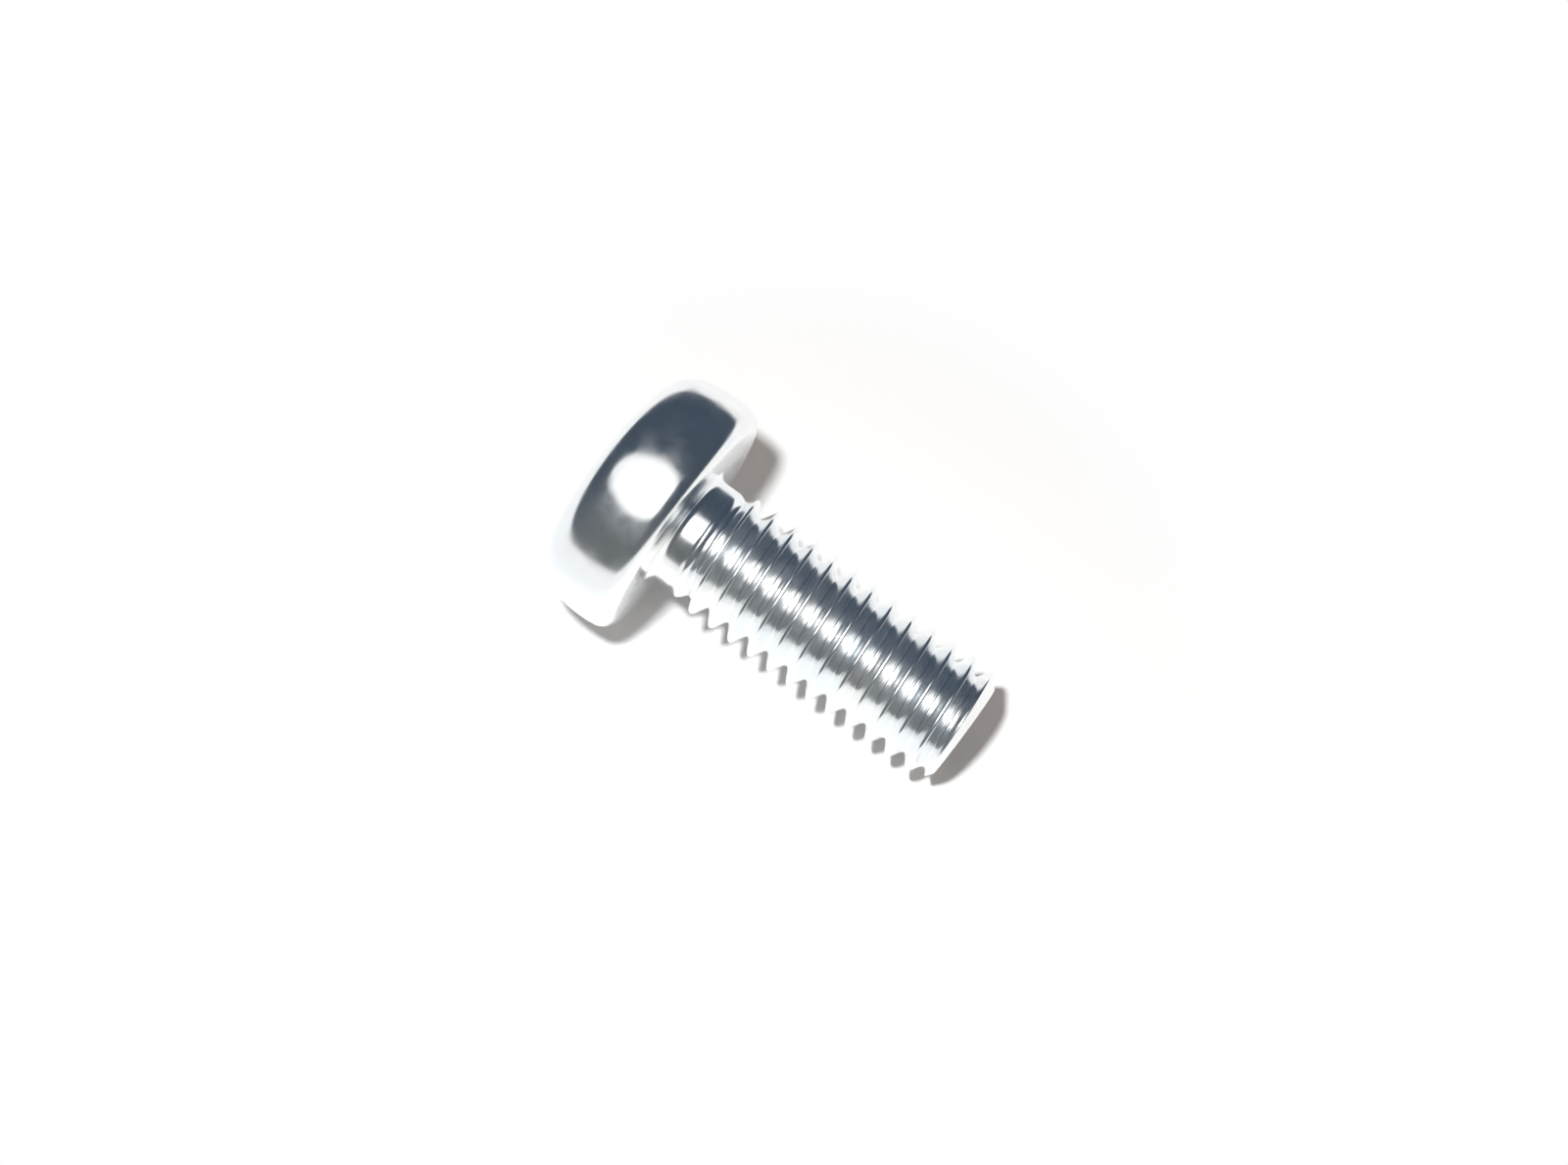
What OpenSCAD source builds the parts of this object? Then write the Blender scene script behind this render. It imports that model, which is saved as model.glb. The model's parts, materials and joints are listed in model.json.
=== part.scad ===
/* [Thread] */
// Outside diameter across the thread crests
thread_d = 3.86; // [3.6:0.02:4.8]
// Distance from one thread turn to the next
pitch = 0.7; // [0.55:0.01:0.9]
// Angle between the two flanks of the thread
flank_angle = 60; // [56:1:66]
// Width of the flat along the thread crest
crest_w = 0.09; // [0.04:0.01:0.16]
// Width of the rounded floor between two turns
root_w = 0.15; // [0.1:0.01:0.24]
// How far the middle of the floor dips below its sides
root_dip = 0.03; // [0.01:0.005:0.06]
// Length over which the thread grows out of the plain neck
run_in_l = 0.7; // [0.4:0.1:2]
// Turn of the thread about the screw's axis
thread_turn = 155; // [0:5:355]

/* [Shank] */
// Length from the seat under the head to the flat end
shank_l = 10; // [6:0.1:20]
// Diameter of the plain neck under the head
neck_d = 3.46; // [3:0.02:3.8]
// Length of the plain neck
neck_l = 0.7; // [0.6:0.05:2]
// Radius of the fillet between neck and head
neck_fillet = 0.24; // [0.1:0.02:0.3]
// Length of the bevel at the flat end
tip_bevel_l = 0.36; // [0.2:0.02:0.8]
// Diameter of the flat end
tip_d = 3; // [2.4:0.02:3.4]

/* [Head] */
// Diameter of the head
head_d = 7.78; // [6.3:0.02:9.6]
// Height of the head above its seat
head_h = 3.15; // [2.6:0.05:3.8]
// Radius of the low crown over the head
crown_r = 9; // [8:0.5:30]
// Radius of the shoulder between the crown and the side
shoulder_r = 1.35; // [0.8:0.05:1.9]
// Radius of the edge between the side and the seat
seat_edge_r = 0.36; // [0.1:0.02:0.6]

/* [Cross recess] */
// Width across two opposite wings at the rim of the recess
recess_d = 4.4; // [3.6:0.05:5]
// Depth of the wings below the top of the head
recess_h = 2.1; // [1.4:0.05:2.3]
// Width across two opposite wings at the floor of the recess
recess_floor_d = 2.3; // [1.8:0.05:2.8]
// Thickness of a wing at the rim
wing_w = 1.04; // [0.7:0.02:1.3]
// Thickness of a wing at the floor
wing_floor_w = 0.8; // [0.5:0.02:1]
// Diameter of the round pocket where the wings meet, at the rim
pocket_d = 2.5; // [1.9:0.05:2.9]
// Diameter of the round pocket at the floor of the wings
pocket_floor_d = 1.5; // [1.2:0.05:1.7]
// Depth of the pointed floor below the wings
recess_point_h = 0.3; // [0.1:0.02:0.4]
// Turn of the cross about the screw's axis
recess_turn = 45; // [0:5:85]

/* [Hidden] */
$fn = 96;

// Radii taken from the diameters above
thread_r = thread_d / 2;
neck_r = neck_d / 2;
tip_r = tip_d / 2;
head_r = head_d / 2;

// The thread: its depth follows from its flanks, and its floor from its depth
flank_w = (pitch - crest_w - root_w) / 2;
floor_r = thread_r - flank_w / tan(flank_angle / 2);
full_thread_l = shank_l - tip_bevel_l;
sides = 40;

// The thread starts a turn up inside the neck and the head, a little thinner than the neck,
// and comes out of the neck's end face before it grows
neck_inset = 0.02;
plain_l = 0.05;
neck_end = neck_l - flank_w - pitch / sides - plain_l;
thread_start = neck_end - pitch - plain_l;
thread_turns = ceil((shank_l - thread_start) / pitch) + 1;

// The head: the shoulder is tangent to the crown inside and to the side outside
crown_z = head_h - crown_r;
shoulder_x = head_r - shoulder_r;
shoulder_z = crown_z + sqrt(pow(crown_r - shoulder_r, 2) - pow(shoulder_x, 2));
crown_angle = acos(shoulder_x / (crown_r - shoulder_r));

// The resting place: the line that touches the head's edge and the last full thread
edge_to_thread = [full_thread_l + seat_edge_r, head_r - seat_edge_r - thread_r];
tilt = atan2(edge_to_thread[1], edge_to_thread[0]) + asin(seat_edge_r / norm(edge_to_thread));
axis_z = thread_r * cos(tilt) + full_thread_l * sin(tilt);
back_x = -crown_z * cos(tilt) - crown_r;
front_x = shank_l * cos(tilt) + tip_r * sin(tilt);
seat_x = -(back_x + front_x) / 2;

// Over-length of a cut past the face that it opens
slack = 1;

// One turn of the thread section: place along the turn, radius
thread_section = [
    [0, thread_r],
    [crest_w, thread_r],
    [crest_w + flank_w, floor_r],
    [crest_w + flank_w + root_w / 2, floor_r - root_dip],
    [crest_w + flank_w + root_w, floor_r],
];

// Points along a round stretch of an outline, from one angle to another
function arc(centre, radius, from, to, steps) = [
    for (step = [0:steps])
    let (angle = from + (to - from) * step / steps)
    centre + radius * [cos(angle), sin(angle)]
];

// Share of the full thread depth that is reached at a depth below the seat
function grown(depth) = max(0, min(1, (depth - neck_l) / run_in_l));

// Radius of the threaded shank for a section radius at a depth below the seat
function shank_radius(section_r, depth) =
    let (plain_r = neck_r - neck_inset)
    plain_r + grown(depth) * (section_r - plain_r);

// A point of the threaded shank: row of the section, and step round the turn
function thread_point(row, step) =
    let (
        count = len(thread_section),
        section = thread_section[row % count],
        turns = floor(row / count) + step / sides,
        depth = thread_start + section[0] + turns * pitch,
        angle = thread_turn - 360 * step / sides,
        radius = shank_radius(section[1], depth)
    )
    [radius * cos(angle), radius * sin(angle), -depth];

// The turned blank without its thread: crown, shoulder, side, seat, fillet and neck
module blank() {
    rotate_extrude() polygon(concat(
        [[0, -neck_end]],
        [[neck_r, -neck_end]],
        arc([neck_r + neck_fillet, -neck_fillet], neck_fillet, 180, 90, 6),
        arc([head_r - seat_edge_r, seat_edge_r], seat_edge_r, 270, 360, 8),
        arc([shoulder_x, shoulder_z], shoulder_r, 0, crown_angle, 16),
        arc([0, crown_z], crown_r, crown_angle + (90 - crown_angle) / 8, 90, 7)
    ));
}

// The threaded shank as one swept surface: rows of points that run down a right-hand helix
module threaded_shank() {
    count = len(thread_section);
    rows = thread_turns * count;
    points = [for (row = [0:rows + count]) for (step = [0:sides - 1]) thread_point(row, step)];
    top = len(points);
    bottom = top + 1;
    // Index of a point, where a full turn leads on to the same row one pitch further down
    function at(row, step) = step < sides ? row * sides + step : (row + count) * sides;
    wall = [
        for (row = [0:rows - 1]) for (step = [0:sides - 1])
        for (triangle = [
            [at(row, step), at(row + 1, step), at(row, step + 1)],
            [at(row, step + 1), at(row + 1, step), at(row + 1, step + 1)]
        ]) triangle
    ];
    top_cap = concat(
        [for (step = [0:sides - 1]) [top, at(0, step), at(0, step + 1)]],
        [for (row = [0:count - 1]) [top, at(row + 1, 0), at(row, 0)]]
    );
    bottom_cap = concat(
        [for (step = [0:sides - 1]) [bottom, at(rows, step + 1), at(rows, step)]],
        [for (row = [0:count - 1]) [bottom, at(rows + row, 0), at(rows + row + 1, 0)]]
    );
    polyhedron(
        points = concat(points, [
            [0, 0, -thread_start - pitch / 2],
            [0, 0, -thread_start - (thread_turns + 0.5) * pitch]
        ]),
        faces = concat(wall, top_cap, bottom_cap)
    );
}

// The space that the end of the shank stays in: a bevel down to the flat end
module tip_envelope() {
    bevel_slope = (thread_r - tip_r) / tip_bevel_l;
    rotate_extrude() polygon([
        [0, head_h / 4],
        [thread_r + slack, head_h / 4],
        [thread_r + slack, -full_thread_l + slack / bevel_slope],
        [tip_r, -shank_l],
        [0, -shank_l]
    ]);
}

// One pair of opposite wings of the recess, tapered in width and in thickness
module wing_pair() {
    rise = slack / recess_h;
    rim_z = head_h + slack;
    floor_z = head_h - recess_h;
    rim_r = recess_d / 2 + (recess_d - recess_floor_d) / 2 * rise;
    rim_w = wing_w + (wing_w - wing_floor_w) * rise;
    intersection() {
        rotate([90, 0, 0]) linear_extrude(height = head_d, center = true) polygon([
            [-rim_r, rim_z],
            [-recess_floor_d / 2, floor_z],
            [recess_floor_d / 2, floor_z],
            [rim_r, rim_z]
        ]);
        rotate([90, 0, 90]) linear_extrude(height = head_d, center = true) polygon([
            [-rim_w / 2, rim_z],
            [-wing_floor_w / 2, floor_z],
            [wing_floor_w / 2, floor_z],
            [rim_w / 2, rim_z]
        ]);
    }
}

// The cross recess: four wings round a tapered pocket with a pointed floor
module cross_recess() {
    rise = slack / recess_h;
    floor_z = head_h - recess_h;
    for (turn = [0, 90]) rotate([0, 0, recess_turn + turn]) wing_pair();
    rotate_extrude() polygon([
        [0, floor_z - recess_point_h],
        [pocket_floor_d / 2, floor_z],
        [pocket_d / 2 + (pocket_d - pocket_floor_d) / 2 * rise, head_h + slack],
        [0, head_h + slack]
    ]);
}

// The whole screw, lying on its head's edge and its thread as it comes to rest
module screw() {
    color("silver")
    translate([seat_x, 0, axis_z])
    rotate([0, tilt - 90, 0])
    difference() {
        union() {
            blank();
            intersection() {
                threaded_shank();
                tip_envelope();
            }
        }
        cross_recess();
    }
}

screw();
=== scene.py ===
"""A machine screw with a pan head, lying on a white table and seen from above."""

import json
import math

import bmesh
import bpy
import numpy as np
from mathutils import Matrix, Vector


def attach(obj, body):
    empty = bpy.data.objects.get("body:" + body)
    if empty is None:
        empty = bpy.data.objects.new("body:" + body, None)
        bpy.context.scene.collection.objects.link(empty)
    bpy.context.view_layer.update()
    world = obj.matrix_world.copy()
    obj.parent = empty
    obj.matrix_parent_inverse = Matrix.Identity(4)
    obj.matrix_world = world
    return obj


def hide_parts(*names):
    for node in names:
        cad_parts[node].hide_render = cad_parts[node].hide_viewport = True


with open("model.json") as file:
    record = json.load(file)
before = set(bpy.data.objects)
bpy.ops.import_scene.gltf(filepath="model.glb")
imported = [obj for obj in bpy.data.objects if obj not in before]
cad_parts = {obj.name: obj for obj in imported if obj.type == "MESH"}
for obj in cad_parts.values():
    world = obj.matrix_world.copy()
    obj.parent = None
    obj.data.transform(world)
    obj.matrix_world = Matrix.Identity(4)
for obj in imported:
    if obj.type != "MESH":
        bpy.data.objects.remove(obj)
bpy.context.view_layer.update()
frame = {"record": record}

# The headed blank
# A length of steel wire is upset cold into a pan head with a low crown, a round shoulder and a
# slightly barrelled side. The neck keeps the wire's plain surface, with a fillet under the flat
# seat. The screw's lengths are in millimetres, and its heights are above the seat.
HEAD_R = 3.885
HEAD_H = 3.08
CROWN_R = 12.5
SHOULDER_R = 1.15
SIDE_R = 4.0
WIDEST_Z = 1.0
SEAT_EDGE_R = 0.5
NECK_R = 1.73
NECK_L = 0.7
NECK_FILLET = 0.24
# Height of the ring in the neck where the head's rows of points meet the shank's
JOIN_Z = -0.4
# Points in a row round the screw, and steps along the stretches of the head's outline
COLUMNS = 160
FILLET_STEPS = 8
EDGE_STEPS = 12
SIDE_STEPS = 10
SHOULDER_STEPS = 20
NECK_SHARES = (0, 0.5)
SEAT_SHARES = (0.04, 0.35, 0.65, 0.96)


def round_stretch(centre, radius, start, end, steps):
    """Points on an arc of an outline, as (distance from the axis, height) pairs."""
    angles = np.radians(np.linspace(start, end, steps + 1))
    return [(centre[0] + radius * math.cos(a), centre[1] + radius * math.sin(a)) for a in angles]


def straight_stretch(start, end, shares):
    """Points at the given shares of the way from one outline point to another."""
    return [tuple(np.array(start) + (np.array(end) - np.array(start)) * share) for share in shares]


def outer_meeting(first, first_reach, second, second_reach):
    """The point at the given distances from two centres that lies further from the axis."""
    gap = math.dist(first, second)
    toward = (np.array(second) - np.array(first)) / gap
    outward = np.array([-toward[1], toward[0]])
    ahead = (gap ** 2 + first_reach ** 2 - second_reach ** 2) / (2 * gap)
    aside = math.sqrt(first_reach ** 2 - ahead ** 2)
    return first + ahead * toward + aside * outward


def bearing(start, end):
    """The direction from one outline point to another, in degrees."""
    return math.degrees(math.atan2(end[1] - start[1], end[0] - start[0]))


def ring(radius, height):
    """One closed row of points round the screw's axis."""
    angles = np.arange(COLUMNS) * 2 * math.pi / COLUMNS
    return np.stack([radius * np.cos(angles), radius * np.sin(angles), np.full(COLUMNS, height)], 1)


crown_centre = (0, HEAD_H - CROWN_R)
side_centre = (HEAD_R - SIDE_R, WIDEST_Z)
shoulder_centre = outer_meeting(side_centre, SIDE_R - SHOULDER_R, crown_centre, CROWN_R - SHOULDER_R)
crown_angle = bearing(crown_centre, shoulder_centre)
shoulder_angle = bearing(side_centre, shoulder_centre)
edge_angle = math.degrees(math.asin((SEAT_EDGE_R - WIDEST_Z) / (SIDE_R - SEAT_EDGE_R)))
edge_out = (SIDE_R - SEAT_EDGE_R) * math.cos(math.radians(edge_angle))
edge_centre = (side_centre[0] + edge_out, SEAT_EDGE_R)
fillet_centre = (NECK_R + NECK_FILLET, -NECK_FILLET)
head_outline = straight_stretch((NECK_R, JOIN_Z), (NECK_R, -NECK_FILLET), NECK_SHARES)
head_outline += round_stretch(fillet_centre, NECK_FILLET, 180, 90, FILLET_STEPS)
head_outline += straight_stretch((fillet_centre[0], 0), (edge_centre[0], 0), SEAT_SHARES)
head_outline += round_stretch(edge_centre, SEAT_EDGE_R, -90, edge_angle, EDGE_STEPS)
head_outline += round_stretch(side_centre, SIDE_R, edge_angle, shoulder_angle, SIDE_STEPS)[1:-1]
head_outline += round_stretch(shoulder_centre, SHOULDER_R, shoulder_angle, crown_angle, SHOULDER_STEPS)
head_rows = [ring(distance, height) for distance, height in head_outline]

# The cross recess
# A punch drives four tapered wings round a conical pocket into the top of the head. Their edges
# are soft, because the steel flows there and the plating builds up on them. Pairs of lengths are
# those at the rim and at the floor.
RECESS_H = 2.1
RECESS_POINT_H = 0.3
RECESS_TURN = 45
RIM_ROUND = 0.07
FLOOR_ROUND = 0.04
WING_CORNER = 0.13
WING_LENGTH = (2.2, 1.15)
WING_HALF_W = (0.52, 0.4)
POCKET_R = (1.25, 0.75)
WINGS = 4
# Steps along an eighth of the cross, which add up to an eighth of a row's points
END_STEPS = 3
CORNER_STEPS = 4
WING_STEPS = 7
POCKET_STEPS = 6
# Rows of points over the crown, round the rim, down the wings' walls and down the pointed floor
CROWN_SHARES = (0.1, 0.22, 0.36, 0.52, 0.68, 0.84, 1)
RIM_LEANS = (22.5, 45, 67.5, 90)
WALL_SHARES = (0.1, 0.3, 0.55, 0.8, 0.97)
POINT_SHARES = (0.9, 0.6, 0.3)


def between(pair, share):
    """The value at a share of the way from the rim's value to the floor's."""
    return pair[0] + (pair[1] - pair[0]) * share


def cross_outline(depth_share, outset=0.0):
    """The recess at a share of its depth: COLUMNS points in the plane, in step with a ring."""
    length = between(WING_LENGTH, depth_share) + outset
    half_w = between(WING_HALF_W, depth_share) + outset
    pocket = between(POCKET_R, depth_share) + outset
    corner = WING_CORNER + outset
    inner = (length - corner, half_w - corner)
    meeting = (math.sqrt(pocket ** 2 - half_w ** 2), half_w)
    eighth = straight_stretch((length, 0), (length, inner[1]), np.arange(END_STEPS) / END_STEPS)
    eighth += round_stretch(inner, corner, 0, 90, CORNER_STEPS)[:-1]
    eighth += straight_stretch((inner[0], half_w), meeting, np.arange(WING_STEPS) / WING_STEPS)
    eighth += round_stretch((0, 0), pocket, bearing((0, 0), meeting), 180 / WINGS, POCKET_STEPS)
    wing = np.array(eighth + [point[::-1] for point in eighth[-2:0:-1]])
    outline = []
    for turn in np.radians(RECESS_TURN + np.arange(WINGS) * 360 / WINGS):
        cosine = math.cos(turn)
        sine = math.sin(turn)
        outline.append(wing @ np.array([[cosine, sine], [-sine, cosine]]))
    return np.roll(np.concatenate(outline), COLUMNS * RECESS_TURN // 360, axis=0)


def lifted(flat, height):
    """Gives points in the plane one height, or a height each."""
    return np.column_stack([flat, np.broadcast_to(height, len(flat))])


def on_crown(flat):
    """Puts points in the plane on the crown of the head."""
    return lifted(flat, crown_centre[1] + np.sqrt(CROWN_R ** 2 - (flat ** 2).sum(1)))


crown_edge = ring(CROWN_R * math.cos(math.radians(crown_angle)), 0)[:, :2]
rim = cross_outline(0, RIM_ROUND)
rim_z = on_crown(rim)[:, 2]
floor_z = HEAD_H - RECESS_H
for share in CROWN_SHARES:
    head_rows.append(on_crown(crown_edge + (rim - crown_edge) * share))
for lean in np.radians(RIM_LEANS):
    edge = cross_outline(0, RIM_ROUND * (1 - math.sin(lean)))
    head_rows.append(lifted(edge, rim_z - RIM_ROUND * (1 - math.cos(lean))))
for share in WALL_SHARES:
    wall_z = between((rim_z - RIM_ROUND, floor_z), share)
    head_rows.append(lifted(cross_outline(share), wall_z))
head_rows.append(lifted(cross_outline(1, -FLOOR_ROUND), floor_z))
for share in POINT_SHARES:
    head_rows.append(ring(POCKET_R[1] * share, floor_z - RECESS_POINT_H * (1 - share)))
recess_point = (0, 0, floor_z - RECESS_POINT_H)

# The thread
# Two dies roll the right-hand thread into the shank. Its crests and floors are a little round,
# it rises out of the plain neck over one turn, and the sheared end has a bevel.
mounts = {mount["name"]: mount for mount in frame["record"]["mounts"]}
THREAD_R = mounts["thread"]["dims"]["r_mm"]
PITCH = 0.7
THREAD_ANGLE = 60
CREST_W = 0.09
ROOT_W = 0.15
ROOT_DIP = 0.03
SOFT_EDGE = 0.012
RUN_IN_L = 0.7
SHANK_L = 10.0
TIP_BEVEL_L = 0.36
TIP_R = 1.5
# Places of the section's points, as shares of the pitch from the middle of a crest
SECTION_SHARES = (0, 0.03, 0.055, 0.075, 0.1, 0.16, 0.24, 0.32, 0.37, 0.4, 0.43, 0.465)


def soft_max(first, second, width):
    """The larger of two lengths, with the corner between them rounded off."""
    return (first + second + np.sqrt((first - second) ** 2 + width ** 2)) / 2


flank_slope = 1 / math.tan(math.radians(THREAD_ANGLE / 2))
flank_drop = (PITCH - CREST_W - ROOT_W) / 2 * flank_slope


def thread_drop(share):
    """How far the thread lies below its crest at a share of the pitch from the crest's middle."""
    away = PITCH * share
    flank = soft_max((away - CREST_W / 2) * flank_slope, 0.0, 2 * SOFT_EDGE)
    floor = flank_drop + ROOT_DIP * (1 - ((PITCH / 2 - away) / (ROOT_W / 2)) ** 2)
    return -soft_max(-flank, -max(floor, flank_drop / 2), 2 * SOFT_EDGE)


# Each point of the section: its place along the turn, and its distance from the nearest crest
section = [(share, share) for share in SECTION_SHARES]
section += [(1 - share, share) for share in (0.5,) + SECTION_SHARES[:0:-1]]
turns = math.ceil(SHANK_L / PITCH) + 1
column_shares = np.arange(COLUMNS) / COLUMNS
angles = -2 * math.pi * column_shares
shank_rows = []
for row in range((turns + 1) * len(section) + 1):
    along, from_crest = section[row % len(section)]
    depth = PITCH * (row // len(section) - 1 + along + column_shares)
    grown = np.clip((depth - NECK_L) / RUN_IN_L, 0, 1)
    radius = NECK_R + grown * (THREAD_R - thread_drop(from_crest) - NECK_R)
    bevel = TIP_R + (THREAD_R - TIP_R) * (SHANK_L - depth) / TIP_BEVEL_L
    radius = -soft_max(-radius, -bevel, SOFT_EDGE)
    radius = np.where(depth >= SHANK_L, TIP_R, radius)
    radius = np.where(depth <= -JOIN_Z, NECK_R, radius)
    height = -np.clip(depth, -JOIN_Z, SHANK_L)
    shank_rows.append(np.stack([radius * np.cos(angles), radius * np.sin(angles), height], 1))

# The finished screw
# Head, neck and shank are one piece of steel, so they make one closed surface: rows of points
# that run down the helix, and rings over the head and across the sheared end of the shank,
# which the shears leave a little hollow.
MM = 0.001
END_DISH = 0.04
END_SHARES = (1, 0.98, 0.8, 0.5, 0.25)
# Points nearer together than this are joined into one
WELD = 0.0015
points = [tuple(point) for row in shank_rows for point in row]
faces = []


def shank_index(row, column):
    """Index of a shank point, where a full turn leads on to the same row one pitch further down."""
    if column < COLUMNS:
        return row * COLUMNS + column
    return (row + len(section)) * COLUMNS


for row in range(turns * len(section)):
    for column in range(COLUMNS):
        above = (shank_index(row, column), shank_index(row, column + 1))
        below = (shank_index(row + 1, column), shank_index(row + 1, column + 1))
        faces.append((above[0], below[0], below[1], above[1]))


def closed_band(first, rows, columns):
    """Faces between closed rows of points, of which the first point has the given index."""
    band = []
    for row in range(rows - 1):
        for column in range(columns):
            here = first + row * columns + column
            beside = first + row * columns + (column + 1) % columns
            band.append((here, beside, beside + columns, here + columns))
    return band


def cover(rows, middle):
    """Adds closed rows of points with faces between them, and closes the last row with a fan."""
    first = len(points)
    last = first + (len(rows) - 1) * COLUMNS
    points.extend(tuple(point) for row in rows for point in row)
    points.append(middle)
    faces.extend(closed_band(first, len(rows), COLUMNS))
    for column in range(COLUMNS):
        faces.append((last + column, last + (column + 1) % COLUMNS, len(points) - 1))


def placed(name, data):
    """Adds an object to the scene."""
    thing = bpy.data.objects.new(name, data)
    bpy.context.collection.objects.link(thing)
    return thing


cover(head_rows, recess_point)
cover([ring(TIP_R * share, -SHANK_L + END_DISH * (1 - share)) for share in END_SHARES],
      (0, 0, -SHANK_L + END_DISH))
mesh = bpy.data.meshes.new("plated_screw")
mesh.from_pydata(points, [], faces)
surface = bmesh.new()
surface.from_mesh(mesh)
bmesh.ops.remove_doubles(surface, verts=surface.verts, dist=WELD)
bmesh.ops.recalc_face_normals(surface, faces=surface.faces)
surface.to_mesh(mesh)
surface.free()

seat = mounts["seat_under_head"]
head_up = -Vector(seat["axis"])
across = Vector((0, 1, 0))
lying = Matrix((across.cross(head_up), across, head_up)).transposed().to_4x4()
mesh.transform(Matrix.Translation(Vector(seat["pos_m"])) @ lying @ Matrix.Scale(MM, 4))
mesh.shade_smooth()
screw = placed("plated_screw", mesh)
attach(screw, "root")
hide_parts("screw")

# The zinc plating
# Bright zinc with a clear bluish passivation, polished by the barrel it was plated in. The film
# shifts a little between blue and straw, and carries fine rubs from other screws. Scales are in
# waves to the metre.
FILM_SCALE = 500
FILM_DETAIL = 3
FILM_BLUE = (0.90, 0.935, 0.96, 1)
FILM_STRAW = (0.955, 0.955, 0.945, 1)
RUB_SCALE = 1800
RUB_DETAIL = 4
SMOOTH = 0.16
RUBBED = 0.24
NOISE_LOW = 0.35
NOISE_HIGH = 0.65


def node_tree(owner):
    """Switches a material or the world to nodes, and gives its node tree."""
    owner.use_nodes = True
    return owner.node_tree


def add_node(tree, kind, inputs):
    """Adds a node, and gives each named input its value or the output that feeds it."""
    node = tree.nodes.new(kind)
    for name, value in inputs.items():
        if isinstance(value, bpy.types.NodeSocket):
            tree.links.new(value, node.inputs[name])
        else:
            node.inputs[name].default_value = value
    return node


def noise(tree, where, scale, detail):
    """A noise texture over the screw, as the output that gives its height."""
    inputs = {"Vector": where, "Scale": scale, "Detail": detail}
    return add_node(tree, "ShaderNodeTexNoise", inputs).outputs["Fac"]


zinc = bpy.data.materials.new("bright_zinc")
zinc_tree = node_tree(zinc)
on_screw = add_node(zinc_tree, "ShaderNodeTexCoord", {}).outputs["Object"]
film_noise = noise(zinc_tree, on_screw, FILM_SCALE, FILM_DETAIL)
film = add_node(zinc_tree, "ShaderNodeValToRGB", {"Fac": film_noise})
film.color_ramp.elements[0].position = NOISE_LOW
film.color_ramp.elements[0].color = FILM_BLUE
film.color_ramp.elements[1].position = NOISE_HIGH
film.color_ramp.elements[1].color = FILM_STRAW
rubs = add_node(zinc_tree, "ShaderNodeMapRange", {
    "Value": noise(zinc_tree, on_screw, RUB_SCALE, RUB_DETAIL),
    "From Min": NOISE_LOW,
    "From Max": NOISE_HIGH,
    "To Min": SMOOTH,
    "To Max": RUBBED,
})
metal = zinc_tree.nodes["Principled BSDF"]
metal.inputs["Metallic"].default_value = 1.0
zinc_tree.links.new(film.outputs["Color"], metal.inputs["Base Color"])
zinc_tree.links.new(rubs.outputs["Result"], metal.inputs["Roughness"])
mesh.materials.append(zinc)

# The table
# A plain sheet of white card, which carries the screw and its shadow. To the camera and in the
# plating it is evenly white away from the screw, where the lamp's light would fall off. Lengths
# are in metres from here on.
TABLE_HALF = 1.0
CARD_COLOUR = (0.95, 0.95, 0.95, 1)
CARD_ROUGHNESS = 0.9
SHADE_FROM = 0.0085
SHADE_TO = 0.015


def seen_or_mirrored(tree):
    """One for what shows to the camera or in the plating, and zero for light on its way."""
    rays = tree.nodes.new("ShaderNodeLightPath").outputs
    seen = rays["Is Camera Ray"]
    for kind in ("Is Glossy Ray", "Is Transmission Ray"):
        either = add_node(tree, "ShaderNodeMath", {0: seen, 1: rays[kind]})
        either.operation = "MAXIMUM"
        seen = either.outputs["Value"]
    return seen


corners = [(-TABLE_HALF, -TABLE_HALF, 0), (TABLE_HALF, -TABLE_HALF, 0),
           (TABLE_HALF, TABLE_HALF, 0), (-TABLE_HALF, TABLE_HALF, 0)]
table_mesh = bpy.data.meshes.new("white_table")
table_mesh.from_pydata(corners, [], [(0, 1, 2, 3)])
placed("white_table", table_mesh)
card = bpy.data.materials.new("white_card")
card_tree = node_tree(card)
matt = card_tree.nodes["Principled BSDF"]
matt.inputs["Base Color"].default_value = CARD_COLOUR
matt.inputs["Roughness"].default_value = CARD_ROUGHNESS
matt.inputs["Specular IOR Level"].default_value = 0.0
on_card = add_node(card_tree, "ShaderNodeTexCoord", {}).outputs["Object"]
from_screw = add_node(card_tree, "ShaderNodeVectorMath", {0: on_card})
from_screw.operation = "LENGTH"
far = add_node(card_tree, "ShaderNodeMapRange", {
    "Value": from_screw.outputs["Value"],
    "From Min": SHADE_FROM,
    "From Max": SHADE_TO,
})
far.interpolation_type = "SMOOTHSTEP"
even = add_node(card_tree, "ShaderNodeMath", {0: far.outputs["Result"], 1: seen_or_mirrored(card_tree)})
even.operation = "MULTIPLY"
white = add_node(card_tree, "ShaderNodeEmission", {})
card_mix = add_node(card_tree, "ShaderNodeMixShader", {
    "Fac": even.outputs["Value"],
    1: matt.outputs["BSDF"],
    2: white.outputs["Emission"],
})
card_tree.links.new(card_mix.outputs["Shader"], card_tree.nodes["Material Output"].inputs["Surface"])
table_mesh.materials.append(card)

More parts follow.
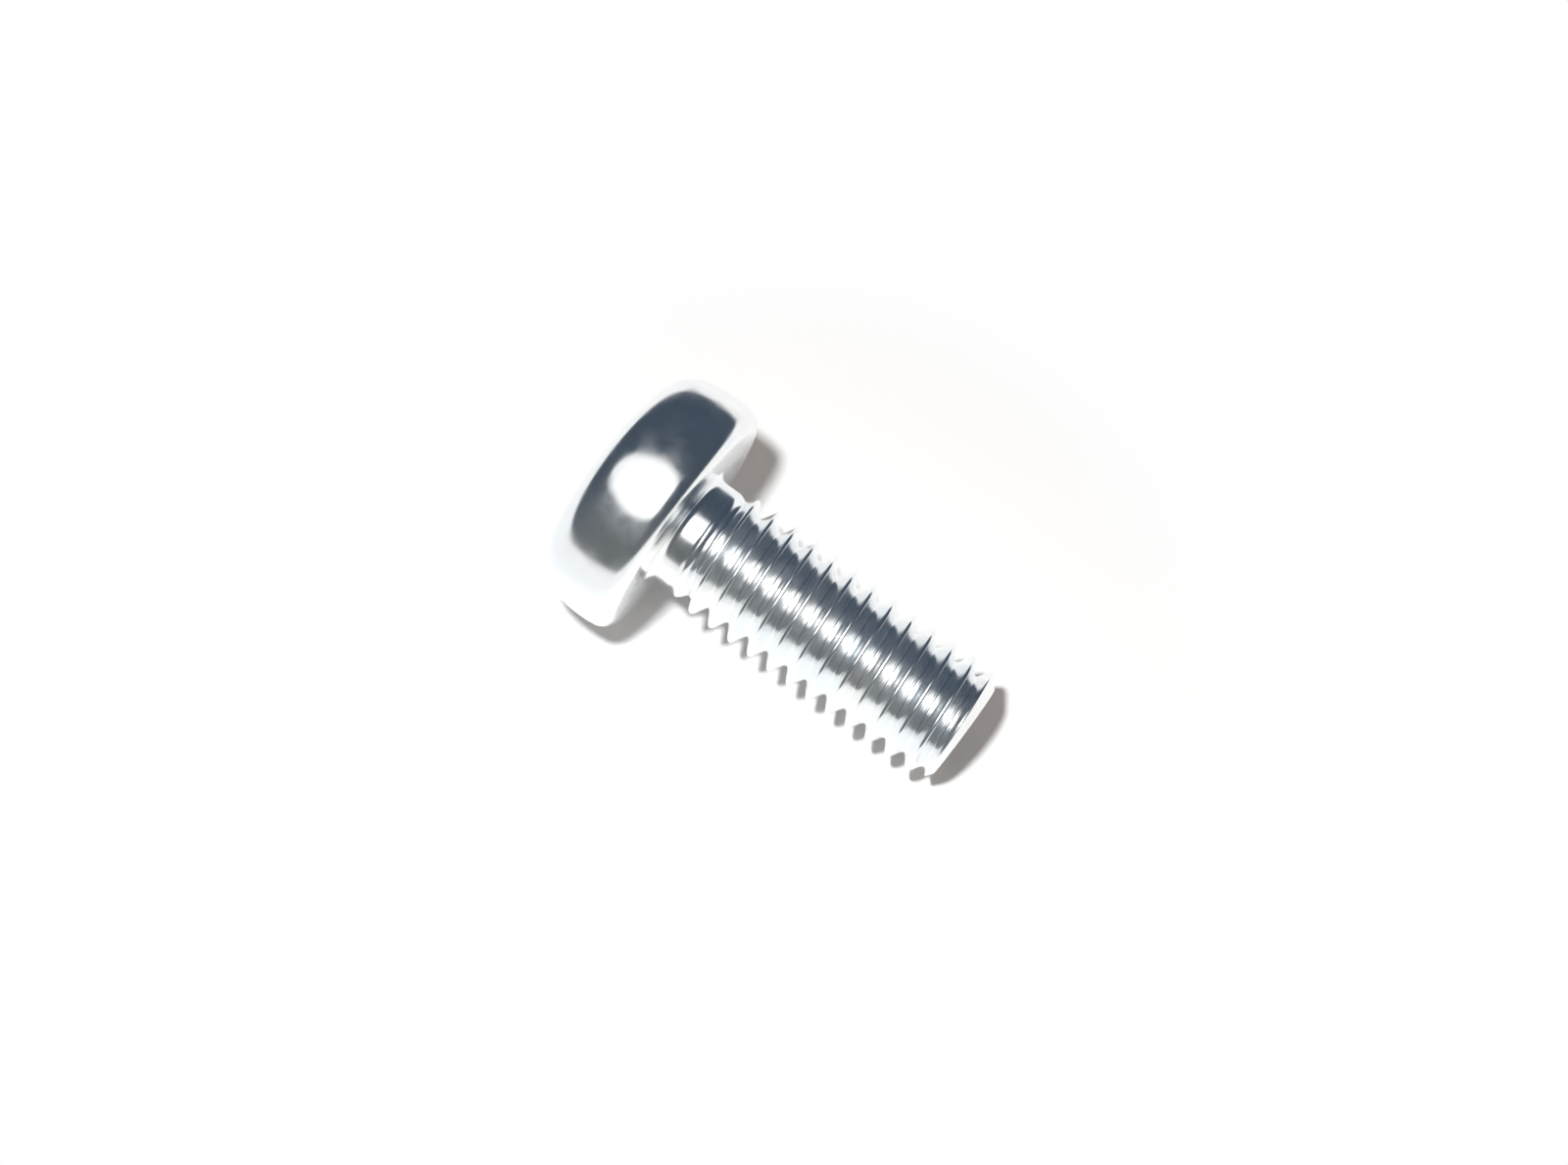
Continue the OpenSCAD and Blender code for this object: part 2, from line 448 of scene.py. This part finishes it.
# The light
# One small lamp above the screw throws its short shadow. It shines through a long opening in a
# dark hood over the table, which only the plating shows, as the dark blocks between its glints.
# The hood glows with a painted reflection of a dim room, lighter on the near side. The opening is
# egg-shaped, wider over the shank, and its sizes are angles in degrees.
LAMP_AT = (0.0015, -0.023, 0.07)
LAMP_POWER = 0.198
LAMP_COLOUR = (0.97, 0.99, 1.0)
LAMP_R = 0.003
OPENING_FROM = Vector((-0.21, -0.245, 0.95)).normalized()
OPENING_ALONG = 36
OPENING_ACROSS = 22.5
OPENING_WIDER = 0.4
OPENING_TURN = -4
HOOD_R = 0.065
HOOD_TO = 125
HOOD_ROWS = 24
HOOD_SIDES = 96
# Painted reflection colours of the hood: darker on the far side, lighter on the near side
HOOD_FAR = (0.055, 0.075, 0.105, 1)
HOOD_NEAR = (0.15, 0.16, 0.165, 1)
ROOM_LIGHT = (0.3, 0.27, 0.25, 1)
ROOM_WHITE = (1, 1, 1, 1)
lamp_data = bpy.data.lights.new("lamp", "POINT")
lamp_data.energy = LAMP_POWER
lamp_data.color = LAMP_COLOUR
lamp_data.shadow_soft_size = LAMP_R
placed("lamp", lamp_data).location = LAMP_AT

hood_points = []
for share in np.linspace(0, 1, HOOD_ROWS):
    for turn in np.arange(HOOD_SIDES) * 2 * math.pi / HOOD_SIDES:
        half_w = OPENING_ACROSS * (1 + OPENING_WIDER * math.cos(turn))
        opening = 1 / math.hypot(math.cos(turn) / OPENING_ALONG, math.sin(turn) / half_w)
        polar = math.radians(opening + (HOOD_TO - opening) * share)
        out = math.sin(polar)
        direction = Vector((out * math.cos(turn), out * math.sin(turn), math.cos(polar)))
        hood_points.append(direction * HOOD_R)
hood_across = OPENING_FROM.cross(Vector((1, 0, 0))).normalized()
hood_along = hood_across.cross(OPENING_FROM)
hood_axes = Matrix((hood_along, hood_across, OPENING_FROM)).transposed().to_4x4()
hood_mesh = bpy.data.meshes.new("dark_hood")
hood_mesh.from_pydata(hood_points, [], closed_band(0, HOOD_ROWS, HOOD_SIDES))
hood_mesh.transform(hood_axes @ Matrix.Rotation(math.radians(OPENING_TURN), 4, "Z"))
hood = placed("dark_hood", hood_mesh)
hood.visible_camera = False
hood.visible_diffuse = False
hood.visible_shadow = False
# The hood's glowing colour is a painted reflection of a dim room, lighter towards the near side, seen
# only in the plating
reflection_paint = bpy.data.materials.new("painted_room_reflection")
reflection_tree = node_tree(reflection_paint)
reflection_tree.nodes.remove(reflection_tree.nodes["Principled BSDF"])
on_hood = add_node(reflection_tree, "ShaderNodeTexCoord", {}).outputs["Object"]
place = add_node(reflection_tree, "ShaderNodeSeparateXYZ", {"Vector": on_hood})
toward_far = add_node(reflection_tree, "ShaderNodeMapRange", {
    "Value": place.outputs["Y"],
    "From Min": -HOOD_R,
    "From Max": 0,
})
reflected_room_tone = add_node(reflection_tree, "ShaderNodeValToRGB", {"Fac": toward_far.outputs["Result"]})
reflected_room_tone.color_ramp.elements[0].color = HOOD_NEAR
reflected_room_tone.color_ramp.elements[1].color = HOOD_FAR
glow = add_node(reflection_tree, "ShaderNodeEmission", {"Color": reflected_room_tone.outputs["Color"]})
reflection_tree.links.new(glow.outputs["Emission"], reflection_tree.nodes["Material Output"].inputs["Surface"])
hood_mesh.materials.append(reflection_paint)

room = bpy.data.worlds.new("studio")
bpy.context.scene.world = room
room_tree = node_tree(room)
shade = room_tree.nodes.new("ShaderNodeMix")
shade.data_type = "RGBA"
shade.inputs["A"].default_value = ROOM_LIGHT
shade.inputs["B"].default_value = ROOM_WHITE
room_tree.links.new(seen_or_mirrored(room_tree), shade.inputs["Factor"])
room_tree.links.new(shade.outputs["Result"], room_tree.nodes["Background"].inputs["Color"])

# The camera
# It stands close above the screw and looks down on it, a little from the side of the flat end
# and from the near side. Angles are in degrees, and places in the picture in its own pixels.
FRAME_W = 1600
FRAME_H = 1189
FOCAL_PX = 2318
AIM = Vector((0, 0, 0.0022))
AIM_PX = (796.5, 624.5)
DISTANCE = 0.0665
TO_TIP = 13.915
TO_NEAR = 24
ROLL = 31.759
SENSOR_W = 36
CLIP_NEAR = 0.005
CLIP_FAR = 10
camera_data = bpy.data.cameras.new("camera")
camera_data.sensor_width = SENSOR_W
camera_data.lens = SENSOR_W * FOCAL_PX / FRAME_W
camera_data.clip_start = CLIP_NEAR
camera_data.clip_end = CLIP_FAR
camera = placed("camera", camera_data)
bpy.context.scene.camera = camera
back = Vector((math.sin(math.radians(TO_TIP)), -math.sin(math.radians(TO_NEAR)), 0))
back.z = math.sqrt(1 - back.length_squared)
along_screw = (Vector((1, 0, 0)) - back * back.x).normalized()
aside = back.cross(along_screw)
roll = math.radians(ROLL)
right = along_screw * math.cos(roll) + aside * math.sin(roll)
up = aside * math.cos(roll) - along_screw * math.sin(roll)
slide_px = right * (FRAME_W / 2 - AIM_PX[0]) - up * (FRAME_H / 2 - AIM_PX[1])
eye = AIM + slide_px * DISTANCE / FOCAL_PX + back * DISTANCE
camera.matrix_world = Matrix.Translation(eye) @ Matrix((right, up, back)).transposed().to_4x4()

bpy.context.scene.view_settings.view_transform = "Standard"
